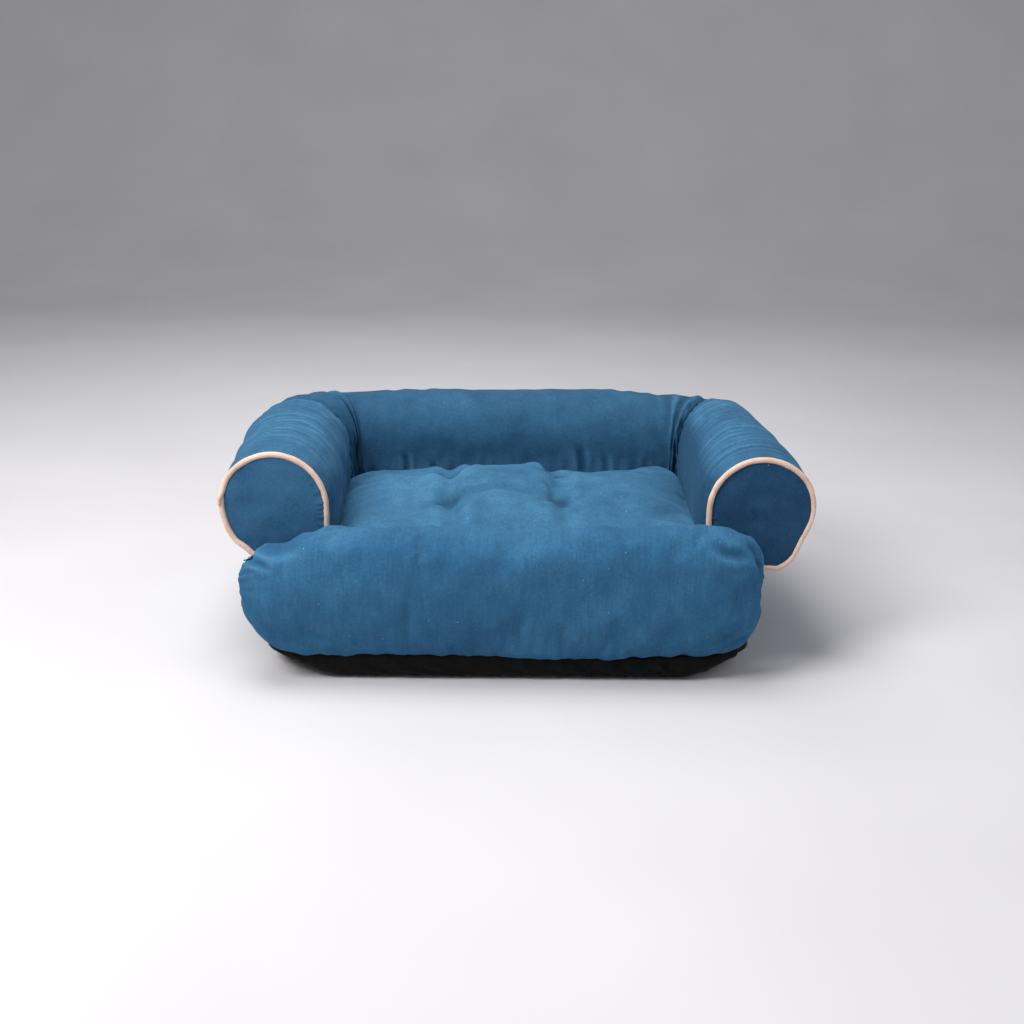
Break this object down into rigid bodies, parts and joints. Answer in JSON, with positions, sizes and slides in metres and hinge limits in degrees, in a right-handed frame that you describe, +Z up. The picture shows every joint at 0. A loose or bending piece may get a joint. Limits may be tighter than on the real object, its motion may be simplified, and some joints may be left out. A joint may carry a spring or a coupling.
{
  "type": "sofa-shaped pet bed",
  "caption": "Padded pet bed shaped like a low sofa: rolled arms with piped ends, a rolled back, a front bolster, a tufted lift-out cushion and a dark base.",
  "frame": {"origin": "middle of the footprint, on the floor", "axes": "+X along the width, to the right seen from the front; +Y from the front bolster to the back; +Z up"},
  "size_m": [0.6, 0.4599, 0.226],
  "materials": {
    "cover": "soft short-nap suede",
    "cushion_cover": "soft short-nap suede, lighter",
    "piping": "smooth woven binding",
    "base_cloth": "plain black weave",
    "filling": "loose fibre filling",
    "foam": "open-cell foam",
    "cord": "twisted cotton cord",
    "thread": "sewing thread",
    "zip_tape": "woven tape",
    "zip_teeth": "nylon",
    "zip_metal": "enamelled zinc"
  },
  "bodies": {
    "sofa_frame": {"left_arm_cover": "cover", "left_arm_filling": "filling", "left_wall_cover": "cover", "left_wall_foam": "foam", "left_arm_end_cap": "cover", "left_arm_piping": "piping", "left_piping_cord": "cord", "right_arm_cover": "cover", "right_arm_filling": "filling", "right_wall_cover": "cover", "right_wall_foam": "foam", "right_arm_end_cap": "cover", "right_arm_piping": "piping", "right_piping_cord": "cord", "back_bolster_cover": "cover", "back_bolster_filling": "filling", "back_wall_cover": "cover", "back_wall_foam": "foam", "front_bolster_cover": "cover", "front_bolster_filling": "filling", "base_bottom_panel": "base_cloth", "base_band": "base_cloth", "base_wadding": "filling", "deck_panel": "base_cloth", "corner_tacks": "thread", "frame_zip_tape_upper": "zip_tape", "frame_zip_tape_lower": "zip_tape", "frame_zip_teeth_upper": "zip_teeth", "frame_zip_teeth_lower": "zip_teeth", "frame_zip_stops": "zip_teeth"},
    "cushion": {"cushion_top_panel": "cushion_cover", "cushion_bottom_panel": "cushion_cover", "cushion_filling": "filling", "tuft_ties": "thread", "cushion_zip_tape_upper": "zip_tape", "cushion_zip_tape_lower": "zip_tape", "cushion_zip_teeth_upper": "zip_teeth", "cushion_zip_teeth_lower": "zip_teeth", "cushion_zip_stops": "zip_teeth"},
    "cushion_zip_slider": {"cushion_zip_slider": "zip_metal"},
    "cushion_zip_pull": {"cushion_zip_pull": "zip_metal"},
    "frame_zip_slider": {"frame_zip_slider": "zip_metal"},
    "frame_zip_pull": {"frame_zip_pull": "zip_metal"}
  },
  "joints": [
    {"name": "cushion_lift", "type": "slide", "parent": "sofa_frame", "child": "cushion", "axis": [0, 0, 1], "range_m": [0, 0.25]},
    {"name": "cushion_zip_slide", "type": "slide", "parent": "cushion", "child": "cushion_zip_slider", "axis": [-1, 0, 0], "range_m": [0, 0.236]},
    {"name": "cushion_pull_swing", "type": "hinge", "parent": "cushion_zip_slider", "child": "cushion_zip_pull", "pos_m": [0.1183, 0.1108, 0.08875], "axis": [0, 0, -1], "range_deg": [0, 15]},
    {"name": "frame_zip_slide", "type": "slide", "parent": "sofa_frame", "child": "frame_zip_slider", "axis": [-1, 0, 0], "range_m": [0, 0.284]},
    {"name": "frame_pull_swing", "type": "hinge", "parent": "frame_zip_slider", "child": "frame_zip_pull", "pos_m": [0.1423, 0.1968, 0.074], "axis": [0, 0, -1], "range_deg": [0, 170]}
  ]
}
